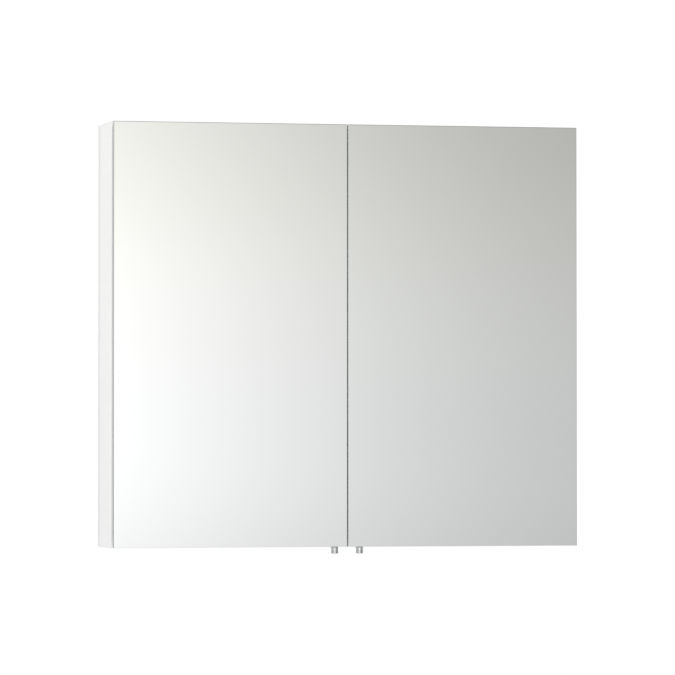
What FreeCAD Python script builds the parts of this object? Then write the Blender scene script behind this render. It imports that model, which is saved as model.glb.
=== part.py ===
import FreeCAD, Part
import os

# A wall-hung cabinet with two mirrored doors, in millimetres.
# +X is to the right, the doors face -Y, +Z is up, and the wall is the plane Y = 0.
# The origin is on the wall, in the middle of the four wall screws.

# Overall size
WIDTH = 800.0
HEIGHT = 710.0
DEPTH = 140.0
WALL_SCREWS_BELOW_TOP = 80.0

# Carcass
BOARD = 16.0
EDGE_BAND = 0.8
BACK_BOARD = 3.0
BACK_RECESS = 15.0
GROOVE_DEPTH = 6.0
GROOVE_PLAY = 0.1
BACK_BOARD_PLAY = 0.5

# Doors
FRONT_GLASS = 4.0
GLASS_ARRIS = 0.7
BACKING_BOARD = 4.0
INNER_GLASS = 3.0
INNER_GLASS_ARRIS = 0.5
DOOR_GAP = 3.5
DOOR_EDGE_INSET = 0.7
CENTRE_GAP = 1.5
INNER_MIRROR_MARGIN_Z = 30.0
INNER_MIRROR_MARGIN_HINGE = 20.0
INNER_MIRROR_MARGIN_FREE = 11.0

# Continuous hinge
AXIS_INSET = 1.5
PIN_RADIUS = 0.7
RUNNING_CLEARANCE = 0.05
KNUCKLE_RADIUS = 1.45
KNUCKLE_COUNT = 23
KNUCKLE_PLAY = 0.4
LEAF_THICKNESS = 0.75
LEAF_WIDTH = 14.0
LEAF_SET_BACK = 2.2
HINGE_SHORTER_THAN_DOOR = 20.0
LEAF_HOLE_FROM_AXIS = 8.5
LEAF_HOLE_COUNT = 8
LEAF_HOLE_MARGIN = 25.0

# Joints between the panels
DOWEL_RADIUS = 4.0
DOWEL_LENGTH = 30.0
DOWEL_IN_FACE = 10.0
DOWEL_Y = (-100.0, -40.0)
HOLE_SPARE_DEPTH = 1.0
CAM_Y = -70.0
CAM_RADIUS = 7.5
CAM_HEIGHT = 12.0
CAM_FROM_SIDE = 34.0
CAM_SLOT = 7.0
CAM_BOLT_THREAD_RADIUS = 2.5
CAM_BOLT_THREAD_LENGTH = 11.0
CAM_BOLT_SHAFT_RADIUS = 3.0
CAM_BOLT_NECK_RADIUS = 2.0
CAM_BOLT_HEAD_RADIUS = 3.2
CAM_BOLT_HEAD_LENGTH = 3.0
CAM_BOLT_HOLE_RADIUS = 3.5
CAM_CAP_RADIUS = 9.0
CAM_CAP_HEIGHT = 0.8

# Glass shelves and their pins
SHELF_GLASS = 5.0
SHELF_ARRIS = 0.8
SHELF_SET_BACK = 10.0
SHELF_REAR_PLAY = 3.0
SHELF_END_PLAY = 2.0
SHELF_LEVELS = 2
PIN_COLUMNS_Y = (-100.0, -42.0)
PIN_HOLE_STEP = 32.0
PIN_PEG_RADIUS = 2.5
PIN_PEG_LENGTH = 6.5
PIN_FLANGE_RADIUS = 4.0
PIN_FLANGE_LENGTH = 1.2
PIN_REST_RADIUS = 3.0
PIN_REST_LENGTH = 6.0

# Adjustable hangers and their wall plates
HANGER_BELOW_TOP = 20.0
HANGER_HEIGHT = 62.0
HANGER_DEPTH = 48.0
HANGER_WIDTH = 20.0
HANGER_WALL = 1.8
LUG_RADIUS = 5.0
LUG_LENGTH = 11.0
LUG_SPACING = 32.0
LUG_Y = -34.0
HOOK_THICKNESS = 2.5
HOOK_ARM_HEIGHT = 12.0
HOOK_NOSE_WIDTH = 4.0
HOOK_NOSE_DROP = 6.0
HOOK_NOSE_FROM_WALL = 1.2
HOOK_BLOCK_WIDTH = 12.0
HOOK_BLOCK_DEPTH = 10.0
HOOK_BLOCK_FRONT = -52.0
ADJUSTER_RADIUS = 3.0
ADJUSTER_LENGTH = 36.0
ADJUSTER_HEAD_RADIUS = 4.5
ADJUSTER_HEAD_HEIGHT = 3.0
ADJUSTER_Z = (10.0, 24.0)
COVER_WALL = 1.5
COVER_PLAY = 0.5
COVER_FRONT = -72.0
COVER_CORNER = 4.0
PLATE_THICKNESS = 2.0
PLATE_WIDTH = 50.0
PLATE_FROM_SIDE = 2.0
PLATE_BOTTOM = -24.0
PLATE_JOG_LOW = 23.0
PLATE_JOG_HIGH = 29.0
PLATE_LIP_TOP = 36.0
PLATE_LIP_STAND_OFF = 6.0
WALL_HOLE_RADIUS = 3.25
WALL_HOLE_HALF_SPACING = 14.0
SLOT_WIDTH = 12.0
SLOT_MARGIN_Z = 8.0

# Magnetic catches, strikes and buffers
CATCH_X = -60.0
CATCH_LENGTH = 34.0
CATCH_DEPTH = 14.0
CATCH_HEIGHT = 10.0
CATCH_SCREW_OFFSET = 13.5
MAGNET_LENGTH = 20.0
MAGNET_DEPTH = 12.0
MAGNET_HEIGHT = 5.0
MAGNET_GAP = 0.3
STRIKE_LENGTH = 26.0
STRIKE_HEIGHT = 8.0
STRIKE_THICKNESS = 1.0
BUFFER_RADIUS = 4.0
BUFFER_GAP = 0.3
BUFFER_FROM_CENTRE = 100.0
BUFFER_DOME = 1.0

# Knobs under the doors
KNOB_FROM_CENTRE = 21.4
KNOB_RADIUS = 6.0
KNOB_BELOW_DOOR = 11.5
KNOB_BEHIND_FRONT = 4.5
KNOB_CHAMFER = 0.6
FOOT_THICKNESS = 1.5
FOOT_PLAY = 0.2
TONGUE_THICKNESS = 1.5
TONGUE_WIDTH = 12.0
TONGUE_HEIGHT = 24.0
TONGUE_SCREW_Z = (7.0, 18.0)

# Positions worked out from the sizes above
LEFT = -WIDTH / 2
SIDE_INNER = LEFT + BOARD
TOP = WALL_SCREWS_BELOW_TOP
BOTTOM = TOP - HEIGHT
CEILING = TOP - BOARD
FLOOR = BOTTOM + BOARD
DOOR_THICKNESS = FRONT_GLASS + BACKING_BOARD
DOOR_FRONT = -DEPTH
DOOR_BACK = DOOR_FRONT + DOOR_THICKNESS
BODY_FRONT = DOOR_BACK + DOOR_GAP
PANEL_FRONT = BODY_FRONT + EDGE_BAND
BACK_REAR = -BACK_RECESS
BACK_FRONT = BACK_REAR - BACK_BOARD
PARTITION = -BOARD / 2
DOOR_OUTER = LEFT + DOOR_EDGE_INSET
DOOR_INNER = -CENTRE_GAP / 2
AXIS_X = LEFT + AXIS_INSET
AXIS_Y = DOOR_BACK + DOOR_GAP / 2
HINGE_BOTTOM = BOTTOM + HINGE_SHORTER_THAN_DOOR / 2
HINGE_LENGTH = HEIGHT - HINGE_SHORTER_THAN_DOOR
HANGER_TOP = TOP - HANGER_BELOW_TOP
HANGER_BOTTOM = HANGER_TOP - HANGER_HEIGHT
HANGER_FRONT = BACK_FRONT - HANGER_DEPTH
HOOK_X = SIDE_INNER + HANGER_WIDTH / 2
PLATE_X = SIDE_INNER + PLATE_FROM_SIDE + PLATE_WIDTH / 2
KNOB_Y = DOOR_FRONT + KNOB_BEHIND_FRONT
STRIKE_Z = (CEILING - CATCH_HEIGHT / 2, FLOOR + CATCH_HEIGHT / 2)

# Screws: shank radius, shank length, head radius, head height
HINGE_SCREW = (1.4, 14.0, 2.6, 0.55)
HINGE_RIVET = (1.5, 3.2, 2.6, 0.55)
CATCH_SCREW = (1.4, 17.0, 2.6, 1.2)
STRIKE_SCREW = (1.3, 3.6, 2.4, 1.0)
TONGUE_SCREW = (1.5, 4.8, 2.8, 0.9)
KNOB_SCREW = (1.5, 7.0, 2.8, 1.3)

ALONG_X = FreeCAD.Vector(1, 0, 0)
ALONG_Y = FreeCAD.Vector(0, 1, 0)
ALONG_Z = FreeCAD.Vector(0, 0, 1)


def vec(x, y, z):
    return FreeCAD.Vector(x, y, z)


def block(x0, x1, y0, y1, z0, z1):
    """A block from the lower to the higher value along each axis."""
    return Part.makeBox(x1 - x0, y1 - y0, z1 - z0, vec(x0, y0, z0))


def rod(point, direction, radius, length):
    """A round rod that starts at a point and runs along a direction."""
    return Part.makeCylinder(radius, length, point, direction)


def fused(solids):
    """Solids that touch or cross, made into one."""
    shape = solids[0]
    for solid in solids[1:]:
        shape = shape.fuse(solid)
    return shape.removeSplitter()


def cut(shape, tools):
    """A shape with each tool taken away."""
    for tool in tools:
        shape = shape.cut(tool)
    return shape


def other_hand(shape):
    """The same shape on the other side of the cabinet's middle."""
    return shape.mirror(vec(0, 0, 0), ALONG_X)


def both_hands(solids):
    """A list of solids followed by their reflections."""
    return solids + [other_hand(solid) for solid in solids]


def save(name, shape):
    shape.exportStep(os.path.join("parts", name + ".step"))


def save_group(name, solids):
    save(name, Part.makeCompound(solids))


def save_pair(name, shape):
    """The left-hand piece and its reflection on the right."""
    save("left_" + name, shape)
    save("right_" + name, other_hand(shape))


def chamfer_face(solid, axis, level, size):
    """Chamfer the edges of the flat face that lies at a level of one axis."""
    edges = []
    for edge in solid.Edges:
        if all(abs(vertex.Point[axis] - level) < 1e-6 for vertex in edge.Vertexes):
            edges.append(edge)
    return solid.makeChamfer(size, edges)


def placed(solid, point, up):
    """A solid drawn at the origin along +Z, turned to another direction and moved."""
    solid.Placement = FreeCAD.Placement(point, FreeCAD.Rotation(ALONG_Z, up))
    return solid


def cross_recess(radius, top, depth):
    """Two crossed slots for a screwdriver, cut down from a level."""
    half = radius * 0.55
    width = radius * 0.12
    one = block(-half, half, -width, width, top - depth, top)
    two = block(-width, width, -half, half, top - depth, top)
    return [one, two]


def raised_screw(point, outward, size):
    """A screw whose chamfered head stands on the face at the point."""
    shank_radius, shank_length, head_radius, head_height = size
    shank = rod(vec(0, 0, -shank_length), ALONG_Z, shank_radius, shank_length)
    head = rod(vec(0, 0, 0), ALONG_Z, head_radius, head_height)
    head = chamfer_face(head, 2, head_height, head_height * 0.4)
    screw = cut(fused([shank, head]), cross_recess(head_radius, head_height, head_height * 0.5))
    return placed(screw, point, outward)


def rivet(point, outward, size):
    """A rivet with a low chamfered head and no recess."""
    shank_radius, shank_length, head_radius, head_height = size
    shank = rod(vec(0, 0, -shank_length), ALONG_Z, shank_radius, shank_length)
    head = rod(vec(0, 0, 0), ALONG_Z, head_radius, head_height)
    head = chamfer_face(head, 2, head_height, head_height * 0.6)
    return placed(fused([shank, head]), point, outward)


def flush_screw(point, outward, size):
    """A countersunk screw whose flat head is level with the point."""
    shank_radius, shank_length, head_radius, head_height = size
    shank = rod(vec(0, 0, -shank_length), ALONG_Z, shank_radius, shank_length)
    head = Part.makeCone(shank_radius, head_radius, head_height, vec(0, 0, -head_height), ALONG_Z)
    screw = cut(fused([shank, head]), cross_recess(head_radius, 0, head_height * 0.5))
    return placed(screw, point, outward)


def countersink(point, outward, size):
    """The hole that a flush screw sits in."""
    shank_radius, shank_length, head_radius, head_height = size
    shank = rod(vec(0, 0, -shank_length), ALONG_Z, shank_radius, shank_length)
    head = Part.makeCone(shank_radius, head_radius, head_height, vec(0, 0, -head_height), ALONG_Z)
    return placed(fused([shank, head]), point, outward)


def spread(low, high, count):
    """Evenly spaced values from low to high."""
    return [low + (high - low) * number / (count - 1) for number in range(count)]


def shelf_bottoms():
    """Heights of the undersides of the shelves, at equal steps in the cabinet."""
    step = (CEILING - FLOOR) / (SHELF_LEVELS + 1)
    return [FLOOR + step * (number + 1) for number in range(SHELF_LEVELS)]


def pin_heights():
    return [bottom - PIN_REST_RADIUS for bottom in shelf_bottoms()]


def pin_hole_heights():
    """Each shelf has a hole at its own level, one above and one below."""
    return [height + step * PIN_HOLE_STEP for height in pin_heights() for step in (-1, 0, 1)]


def leaf_hole_heights():
    low = HINGE_BOTTOM + LEAF_HOLE_MARGIN
    return spread(low, HINGE_BOTTOM + HINGE_LENGTH - LEAF_HOLE_MARGIN, LEAF_HOLE_COUNT)


def panel_mid_heights():
    """Mid-thickness heights of the top and bottom panels."""
    return [TOP - BOARD / 2, BOTTOM + BOARD / 2]


# Panels of the carcass

def back_groove():
    """The space that the back board's edges slide into."""
    return block(SIDE_INNER - GROOVE_DEPTH, -SIDE_INNER + GROOVE_DEPTH,
                 BACK_FRONT - GROOVE_PLAY, BACK_REAR + GROOVE_PLAY,
                 FLOOR - GROOVE_DEPTH, CEILING + GROOVE_DEPTH)


def corner_dowel_holes():
    """Holes for the dowels that join the left side to the top and bottom panels."""
    start = SIDE_INNER - DOWEL_IN_FACE - HOLE_SPARE_DEPTH
    length = DOWEL_LENGTH + 2 * HOLE_SPARE_DEPTH
    return [rod(vec(start, y, z), ALONG_X, DOWEL_RADIUS, length)
            for y in DOWEL_Y for z in panel_mid_heights()]


def partition_dowel_holes():
    """Holes for the dowels at the two ends of the partition."""
    length = DOWEL_LENGTH + 2 * HOLE_SPARE_DEPTH
    high = CEILING + DOWEL_IN_FACE + HOLE_SPARE_DEPTH - length
    low = FLOOR - DOWEL_IN_FACE - HOLE_SPARE_DEPTH
    return [rod(vec(0, y, z), ALONG_Z, DOWEL_RADIUS, length) for y in DOWEL_Y for z in (low, high)]


def hinge_screw_points():
    y = BODY_FRONT - LEAF_THICKNESS
    return [vec(AXIS_X + LEAF_HOLE_FROM_AXIS, y, z) for z in leaf_hole_heights()]


def hinge_screw_holes():
    return [rod(point, ALONG_Y, HINGE_SCREW[0], HINGE_SCREW[1] + HOLE_SPARE_DEPTH)
            for point in hinge_screw_points()]


def pin_holes(face_x, direction):
    """Blind holes for shelf pins, bored from a face into a board."""
    return [rod(vec(face_x, y, z), direction, PIN_PEG_RADIUS, PIN_PEG_LENGTH + HOLE_SPARE_DEPTH / 2)
            for y in PIN_COLUMNS_Y for z in pin_hole_heights()]


def hanger_lug_points():
    mid = (HANGER_TOP + HANGER_BOTTOM) / 2
    return [vec(SIDE_INNER - LUG_LENGTH, LUG_Y, mid + side * LUG_SPACING / 2) for side in (-1, 1)]


def side_panel():
    panel = block(LEFT, SIDE_INNER, PANEL_FRONT, 0, BOTTOM, TOP)
    holes = [back_groove()]
    holes += corner_dowel_holes()
    holes += hinge_screw_holes()
    holes += pin_holes(SIDE_INNER, -ALONG_X)
    for z in panel_mid_heights():
        start = vec(SIDE_INNER - CAM_BOLT_THREAD_LENGTH, CAM_Y, z)
        holes.append(rod(start, ALONG_X, CAM_BOLT_THREAD_RADIUS, CAM_BOLT_THREAD_LENGTH))
    for point in hanger_lug_points():
        holes.append(rod(point, ALONG_X, LUG_RADIUS, LUG_LENGTH))
    return cut(panel, holes)


def cam_centres():
    """Where each cam's flat face meets the inside face of its panel, with its direction."""
    x = SIDE_INNER + CAM_FROM_SIDE
    return [(vec(x, CAM_Y, CEILING), ALONG_Z), (vec(x, CAM_Y, FLOOR), -ALONG_Z)]


def catch_screw_points():
    """Heads of the catch screws, on the face of each catch that is away from its panel."""
    points = []
    for side in (-1, 1):
        x = CATCH_X + side * CATCH_SCREW_OFFSET
        y = BODY_FRONT + CATCH_DEPTH / 2
        points.append((vec(x, y, CEILING - CATCH_HEIGHT), -ALONG_Z))
        points.append((vec(x, y, FLOOR + CATCH_HEIGHT), ALONG_Z))
    return points


def catch_screw_holes():
    return [rod(point, -outward, CATCH_SCREW[0], CATCH_SCREW[1] + HOLE_SPARE_DEPTH)
            for point, outward in catch_screw_points()]


def cross_panel(low, high):
    """The top or bottom panel, between the two sides."""
    panel = block(SIDE_INNER, -SIDE_INNER, PANEL_FRONT, 0, low, high)
    holes = [back_groove()]
    holes += partition_dowel_holes()
    one_hand = corner_dowel_holes() + catch_screw_holes()
    for z in panel_mid_heights():
        one_hand.append(rod(vec(SIDE_INNER, CAM_Y, z), ALONG_X, CAM_BOLT_HOLE_RADIUS, CAM_FROM_SIDE))
    for centre, inward in cam_centres():
        one_hand.append(rod(centre, inward, CAM_RADIUS, CAM_HEIGHT + HOLE_SPARE_DEPTH / 2))
    return cut(panel, holes + both_hands(one_hand))


def centre_partition():
    panel = block(PARTITION, -PARTITION, PANEL_FRONT, BACK_FRONT, FLOOR, CEILING)
    holes = partition_dowel_holes()
    holes += both_hands(pin_holes(PARTITION, ALONG_X))
    return cut(panel, holes)


def back_board():
    """The back, in its grooves, with an opening for each hanger's hook."""
    reach = GROOVE_DEPTH - BACK_BOARD_PLAY
    board = block(SIDE_INNER - reach, -SIDE_INNER + reach, BACK_FRONT, BACK_REAR,
                  FLOOR - reach, CEILING + reach)
    slot = block(HOOK_X - SLOT_WIDTH / 2, HOOK_X + SLOT_WIDTH / 2, BACK_FRONT, BACK_REAR,
                 PLATE_LIP_TOP - SLOT_MARGIN_Z, PLATE_LIP_TOP + HOOK_ARM_HEIGHT + SLOT_MARGIN_Z)
    return cut(board, both_hands([slot]))


def edge_bands():
    """The edging on the front edges of the five boards."""
    side = cut(block(LEFT, SIDE_INNER, BODY_FRONT, PANEL_FRONT, BOTTOM, TOP), hinge_screw_holes())
    top = block(SIDE_INNER, -SIDE_INNER, BODY_FRONT, PANEL_FRONT, CEILING, TOP)
    bottom = block(SIDE_INNER, -SIDE_INNER, BODY_FRONT, PANEL_FRONT, BOTTOM, FLOOR)
    middle = block(PARTITION, -PARTITION, BODY_FRONT, PANEL_FRONT, FLOOR, CEILING)
    return [side, other_hand(side), top, bottom, middle]


# Fasteners of the carcass

def dowels():
    corner = [rod(vec(SIDE_INNER - DOWEL_IN_FACE, y, z), ALONG_X, DOWEL_RADIUS, DOWEL_LENGTH)
              for y in DOWEL_Y for z in panel_mid_heights()]
    low = FLOOR - DOWEL_IN_FACE
    high = CEILING + DOWEL_IN_FACE - DOWEL_LENGTH
    middle = [rod(vec(0, y, z), ALONG_Z, DOWEL_RADIUS, DOWEL_LENGTH) for y in DOWEL_Y for z in (low, high)]
    return both_hands(corner) + middle


def cam_locks():
    """Round cams with a slot for the bolt's head and a cross recess in the face."""
    cams = []
    for centre, inward in cam_centres():
        mid_z = centre.z + inward.z * BOARD / 2
        half = CAM_SLOT / 2
        cam = rod(centre, inward, CAM_RADIUS, CAM_HEIGHT)
        slot = block(centre.x - CAM_RADIUS, centre.x + half, CAM_Y - half, CAM_Y + half,
                     mid_z - half, mid_z + half)
        recess = [placed(tool, centre, -inward) for tool in cross_recess(CAM_RADIUS, 0, 2.0)]
        cams.append(cut(cam, [slot] + recess))
    return both_hands(cams)


def cam_bolts():
    """Stepped bolts from the sides into the cams: thread, shaft, neck and head."""
    bolts = []
    neck_start = SIDE_INNER + CAM_FROM_SIDE - CAM_RADIUS
    head_start = SIDE_INNER + CAM_FROM_SIDE - CAM_BOLT_HEAD_LENGTH / 2
    for z in panel_mid_heights():
        thread = rod(vec(SIDE_INNER - CAM_BOLT_THREAD_LENGTH, CAM_Y, z), ALONG_X,
                     CAM_BOLT_THREAD_RADIUS, CAM_BOLT_THREAD_LENGTH)
        shaft = rod(vec(SIDE_INNER, CAM_Y, z), ALONG_X, CAM_BOLT_SHAFT_RADIUS, neck_start - SIDE_INNER)
        neck = rod(vec(neck_start, CAM_Y, z), ALONG_X, CAM_BOLT_NECK_RADIUS, head_start - neck_start)
        head = rod(vec(head_start, CAM_Y, z), ALONG_X, CAM_BOLT_HEAD_RADIUS, CAM_BOLT_HEAD_LENGTH)
        bolts.append(fused([thread, shaft, neck, head]))
    return both_hands(bolts)


def cam_caps():
    """Flat caps that hide the cams."""
    caps = []
    for centre, inward in cam_centres():
        cap = rod(vec(0, 0, 0), ALONG_Z, CAM_CAP_RADIUS, CAM_CAP_HEIGHT)
        cap = chamfer_face(cap, 2, CAM_CAP_HEIGHT, CAM_CAP_HEIGHT / 2)
        caps.append(placed(cap, centre, -inward))
    return both_hands(caps)


# Shelves

def glass_shelf(bottom):
    """A loose glass shelf in the left bay, with its sharp edges taken off."""
    x0 = SIDE_INNER + SHELF_END_PLAY
    x1 = PARTITION - SHELF_END_PLAY
    shelf = block(x0, x1, BODY_FRONT + SHELF_SET_BACK, BACK_FRONT - SHELF_REAR_PLAY,
                  bottom, bottom + SHELF_GLASS)
    shelf = chamfer_face(shelf, 2, bottom + SHELF_GLASS, SHELF_ARRIS)
    return chamfer_face(shelf, 2, bottom, SHELF_ARRIS)


def shelf_pin(face_x, y, z, inward):
    """A pin with a peg in the board, a flange on its face and a rest for the glass."""
    peg = rod(vec(face_x, y, z), inward, PIN_PEG_RADIUS, PIN_PEG_LENGTH)
    flange = rod(vec(face_x, y, z), -inward, PIN_FLANGE_RADIUS, PIN_FLANGE_LENGTH)
    rest = rod(vec(face_x, y, z), -inward, PIN_REST_RADIUS, PIN_FLANGE_LENGTH + PIN_REST_LENGTH)
    return cut(fused([peg, flange, rest]), [flange_relief(face_x, y, z)])


def flange_relief(face_x, y, z):
    """Takes the top of the flange down to the level of the rest, so the glass lies flat."""
    reach = PIN_FLANGE_RADIUS
    return block(face_x - reach, face_x + reach, y - reach, y + reach,
                 z + PIN_REST_RADIUS, z + PIN_FLANGE_RADIUS)


def shelf_pins():
    pins = []
    for y in PIN_COLUMNS_Y:
        for z in pin_heights():
            pins.append(shelf_pin(SIDE_INNER, y, z, -ALONG_X))
            pins.append(shelf_pin(PARTITION, y, z, ALONG_X))
    return both_hands(pins)


# Hangers

def adjuster_holes(radius):
    return [rod(vec(HOOK_X, HANGER_FRONT, z), ALONG_Y, radius, ADJUSTER_LENGTH) for z in ADJUSTER_Z]


def hanger_housing():
    """A shell open at the back, held to the side by two round lugs."""
    x1 = SIDE_INNER + HANGER_WIDTH
    outer = block(SIDE_INNER, x1, HANGER_FRONT, BACK_FRONT, HANGER_BOTTOM, HANGER_TOP)
    inner = block(SIDE_INNER + HANGER_WALL, x1 - HANGER_WALL, HANGER_FRONT + HANGER_WALL, BACK_FRONT,
                  HANGER_BOTTOM + HANGER_WALL, HANGER_TOP - HANGER_WALL)
    lugs = [rod(point, ALONG_X, LUG_RADIUS, LUG_LENGTH) for point in hanger_lug_points()]
    shell = cut(outer, [inner] + adjuster_holes(ADJUSTER_RADIUS))
    return fused([shell] + lugs)


def hanger_hook():
    """A steel arm with a nose that drops behind the wall plate, and its adjusting block."""
    half = HOOK_THICKNESS / 2
    arm_top = PLATE_LIP_TOP + HOOK_ARM_HEIGHT
    arm = block(HOOK_X - half, HOOK_X + half, HOOK_BLOCK_FRONT, -HOOK_NOSE_FROM_WALL,
                PLATE_LIP_TOP, arm_top)
    nose = block(HOOK_X - half, HOOK_X + half, -HOOK_NOSE_FROM_WALL - HOOK_NOSE_WIDTH,
                 -HOOK_NOSE_FROM_WALL, PLATE_LIP_TOP - HOOK_NOSE_DROP, arm_top)
    half = HOOK_BLOCK_WIDTH / 2
    screw_block = block(HOOK_X - half, HOOK_X + half, HOOK_BLOCK_FRONT,
                        HOOK_BLOCK_FRONT + HOOK_BLOCK_DEPTH,
                        ADJUSTER_Z[0] - ADJUSTER_RADIUS * 2, arm_top)
    return cut(fused([arm, nose, screw_block]), adjuster_holes(ADJUSTER_RADIUS))


def adjusting_screws():
    """The two screws that raise the cabinet and draw it to the wall."""
    size = (ADJUSTER_RADIUS, ADJUSTER_LENGTH, ADJUSTER_HEAD_RADIUS, ADJUSTER_HEAD_HEIGHT)
    return both_hands([raised_screw(vec(HOOK_X, HANGER_FRONT, z), -ALONG_Y, size) for z in ADJUSTER_Z])


def hanger_cover():
    """A cap over the housing and its screws, with a round front corner."""
    x1 = SIDE_INNER + HANGER_WIDTH + COVER_PLAY
    z0 = HANGER_BOTTOM - COVER_PLAY
    z1 = HANGER_TOP + COVER_PLAY
    inner = block(SIDE_INNER, x1, COVER_FRONT + COVER_WALL, BACK_FRONT, z0, z1)
    outer = block(SIDE_INNER, x1 + COVER_WALL, COVER_FRONT, BACK_FRONT, z0 - COVER_WALL, z1 + COVER_WALL)
    inner = round_front_corner(inner, COVER_CORNER - COVER_WALL)
    outer = round_front_corner(outer, COVER_CORNER)
    return outer.cut(inner)


def round_front_corner(solid, radius):
    """Round the upright edge of a block that is nearest the front and the middle."""
    box = solid.BoundBox
    edges = []
    for edge in solid.Edges:
        points = [vertex.Point for vertex in edge.Vertexes]
        if all(abs(p.x - box.XMax) < 1e-6 and abs(p.y - box.YMin) < 1e-6 for p in points):
            edges.append(edge)
    return solid.makeFillet(radius, edges)


def wall_plate():
    """A bent steel plate: flat on the wall, with a lip standing off it at the top."""
    t = PLATE_THICKNESS
    lip = -PLATE_LIP_STAND_OFF
    outline = [(0, PLATE_BOTTOM), (0, PLATE_JOG_LOW), (lip, PLATE_JOG_HIGH), (lip, PLATE_LIP_TOP),
               (lip - t, PLATE_LIP_TOP), (lip - t, PLATE_JOG_HIGH - t / 2),
               (-t, PLATE_JOG_LOW - t / 2), (-t, PLATE_BOTTOM)]
    x0 = PLATE_X - PLATE_WIDTH / 2
    points = [vec(x0, y, z) for y, z in outline]
    plate = Part.Face(Part.makePolygon(points + points[:1])).extrude(vec(PLATE_WIDTH, 0, 0))
    holes = [rod(vec(PLATE_X, -t, side * WALL_HOLE_HALF_SPACING), ALONG_Y, WALL_HOLE_RADIUS, t)
             for side in (-1, 1)]
    return cut(plate, holes)


# Doors

def mirror_glass(x0, x1, y0, y1, z0, z1, arris_level, arris):
    """A sheet of mirror glass with the edges of one face ground off."""
    return chamfer_face(block(x0, x1, y0, y1, z0, z1), 1, arris_level, arris)


def front_mirror():
    return mirror_glass(DOOR_OUTER, DOOR_INNER, DOOR_FRONT, DOOR_FRONT + FRONT_GLASS, BOTTOM, TOP,
                        DOOR_FRONT, GLASS_ARRIS)


def inner_mirror():
    back = DOOR_BACK + INNER_GLASS
    return mirror_glass(DOOR_OUTER + INNER_MIRROR_MARGIN_HINGE, DOOR_INNER - INNER_MIRROR_MARGIN_FREE,
                        DOOR_BACK, back, BOTTOM + INNER_MIRROR_MARGIN_Z, TOP - INNER_MIRROR_MARGIN_Z,
                        back, INNER_GLASS_ARRIS)


def rivet_points():
    y = DOOR_BACK + LEAF_THICKNESS
    return [vec(AXIS_X + LEAF_HOLE_FROM_AXIS, y, z) for z in leaf_hole_heights()]


def strike_screw_points():
    return [vec(CATCH_X, DOOR_BACK + STRIKE_THICKNESS, z) for z in STRIKE_Z]


def tongue_screw_points():
    y = DOOR_BACK + TONGUE_THICKNESS
    return [vec(-KNOB_FROM_CENTRE, y, BOTTOM + z) for z in TONGUE_SCREW_Z]


def backing_board():
    """The board behind the glass, drilled for rivets and screws."""
    board = block(DOOR_OUTER, DOOR_INNER, DOOR_FRONT + FRONT_GLASS, DOOR_BACK, BOTTOM, TOP)
    holes = [rod(point, -ALONG_Y, HINGE_RIVET[0], HINGE_RIVET[1]) for point in rivet_points()]
    holes += [rod(point, -ALONG_Y, STRIKE_SCREW[0], STRIKE_SCREW[1]) for point in strike_screw_points()]
    holes += [rod(point, -ALONG_Y, TONGUE_SCREW[0], TONGUE_SCREW[1]) for point in tongue_screw_points()]
    return cut(board, holes)


def hinge_leaf(side, first_knuckle, bore_radius):
    """Half of the continuous hinge. The door's half has side -1 and the frame's half +1.

    The leaf lies on its board and steps towards the pin, where each of its knuckles is a tube.
    """
    outer = side * DOOR_GAP / 2
    inner = outer - side * LEAF_THICKNESS
    roll_outer = side * KNUCKLE_RADIUS
    roll_inner = side * (KNUCKLE_RADIUS - LEAF_THICKNESS)
    pitch = HINGE_LENGTH / KNUCKLE_COUNT
    solids = [block(AXIS_X + LEAF_SET_BACK, AXIS_X + LEAF_WIDTH, AXIS_Y + min(outer, inner),
                    AXIS_Y + max(outer, inner), HINGE_BOTTOM, HINGE_BOTTOM + HINGE_LENGTH)]
    bores = []
    for number in range(first_knuckle, KNUCKLE_COUNT, 2):
        z = HINGE_BOTTOM + number * pitch + KNUCKLE_PLAY / 2
        length = pitch - KNUCKLE_PLAY
        step = [vec(AXIS_X, AXIS_Y + roll_inner, z), vec(AXIS_X, AXIS_Y + roll_outer, z),
                vec(AXIS_X + LEAF_SET_BACK, AXIS_Y + outer, z), vec(AXIS_X + LEAF_SET_BACK, AXIS_Y + inner, z)]
        solids.append(Part.Face(Part.makePolygon(step + step[:1])).extrude(vec(0, 0, length)))
        solids.append(rod(vec(AXIS_X, AXIS_Y, z), ALONG_Z, KNUCKLE_RADIUS, length))
        bores.append(rod(vec(AXIS_X, AXIS_Y, z), ALONG_Z, bore_radius, length))
    if side < 0:
        bores += [rod(point, -ALONG_Y, HINGE_RIVET[0], LEAF_THICKNESS) for point in rivet_points()]
    else:
        bores += hinge_screw_holes()
    return cut(fused(solids), bores)


def hinge_pin():
    return rod(vec(AXIS_X, AXIS_Y, HINGE_BOTTOM), ALONG_Z, PIN_RADIUS, HINGE_LENGTH)


# Catches, strikes and buffers

def catch_housings():
    """Plastic blocks beside the partition, each with a pocket for its magnet."""
    housings = []
    x0 = CATCH_X - CATCH_LENGTH / 2
    x1 = CATCH_X + CATCH_LENGTH / 2
    for z in STRIKE_Z:
        body = block(x0, x1, BODY_FRONT, BODY_FRONT + CATCH_DEPTH, z - CATCH_HEIGHT / 2, z + CATCH_HEIGHT / 2)
        housings.append(cut(body, catch_screw_holes() + catch_magnet_blocks()))
    return housings


def catch_magnet_blocks():
    face = DOOR_BACK + STRIKE_THICKNESS + MAGNET_GAP
    half = MAGNET_HEIGHT / 2
    return [block(CATCH_X - MAGNET_LENGTH / 2, CATCH_X + MAGNET_LENGTH / 2, face, face + MAGNET_DEPTH,
                  z - half, z + half) for z in STRIKE_Z]


def catch_screws():
    return [raised_screw(point, outward, CATCH_SCREW) for point, outward in catch_screw_points()]


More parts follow.
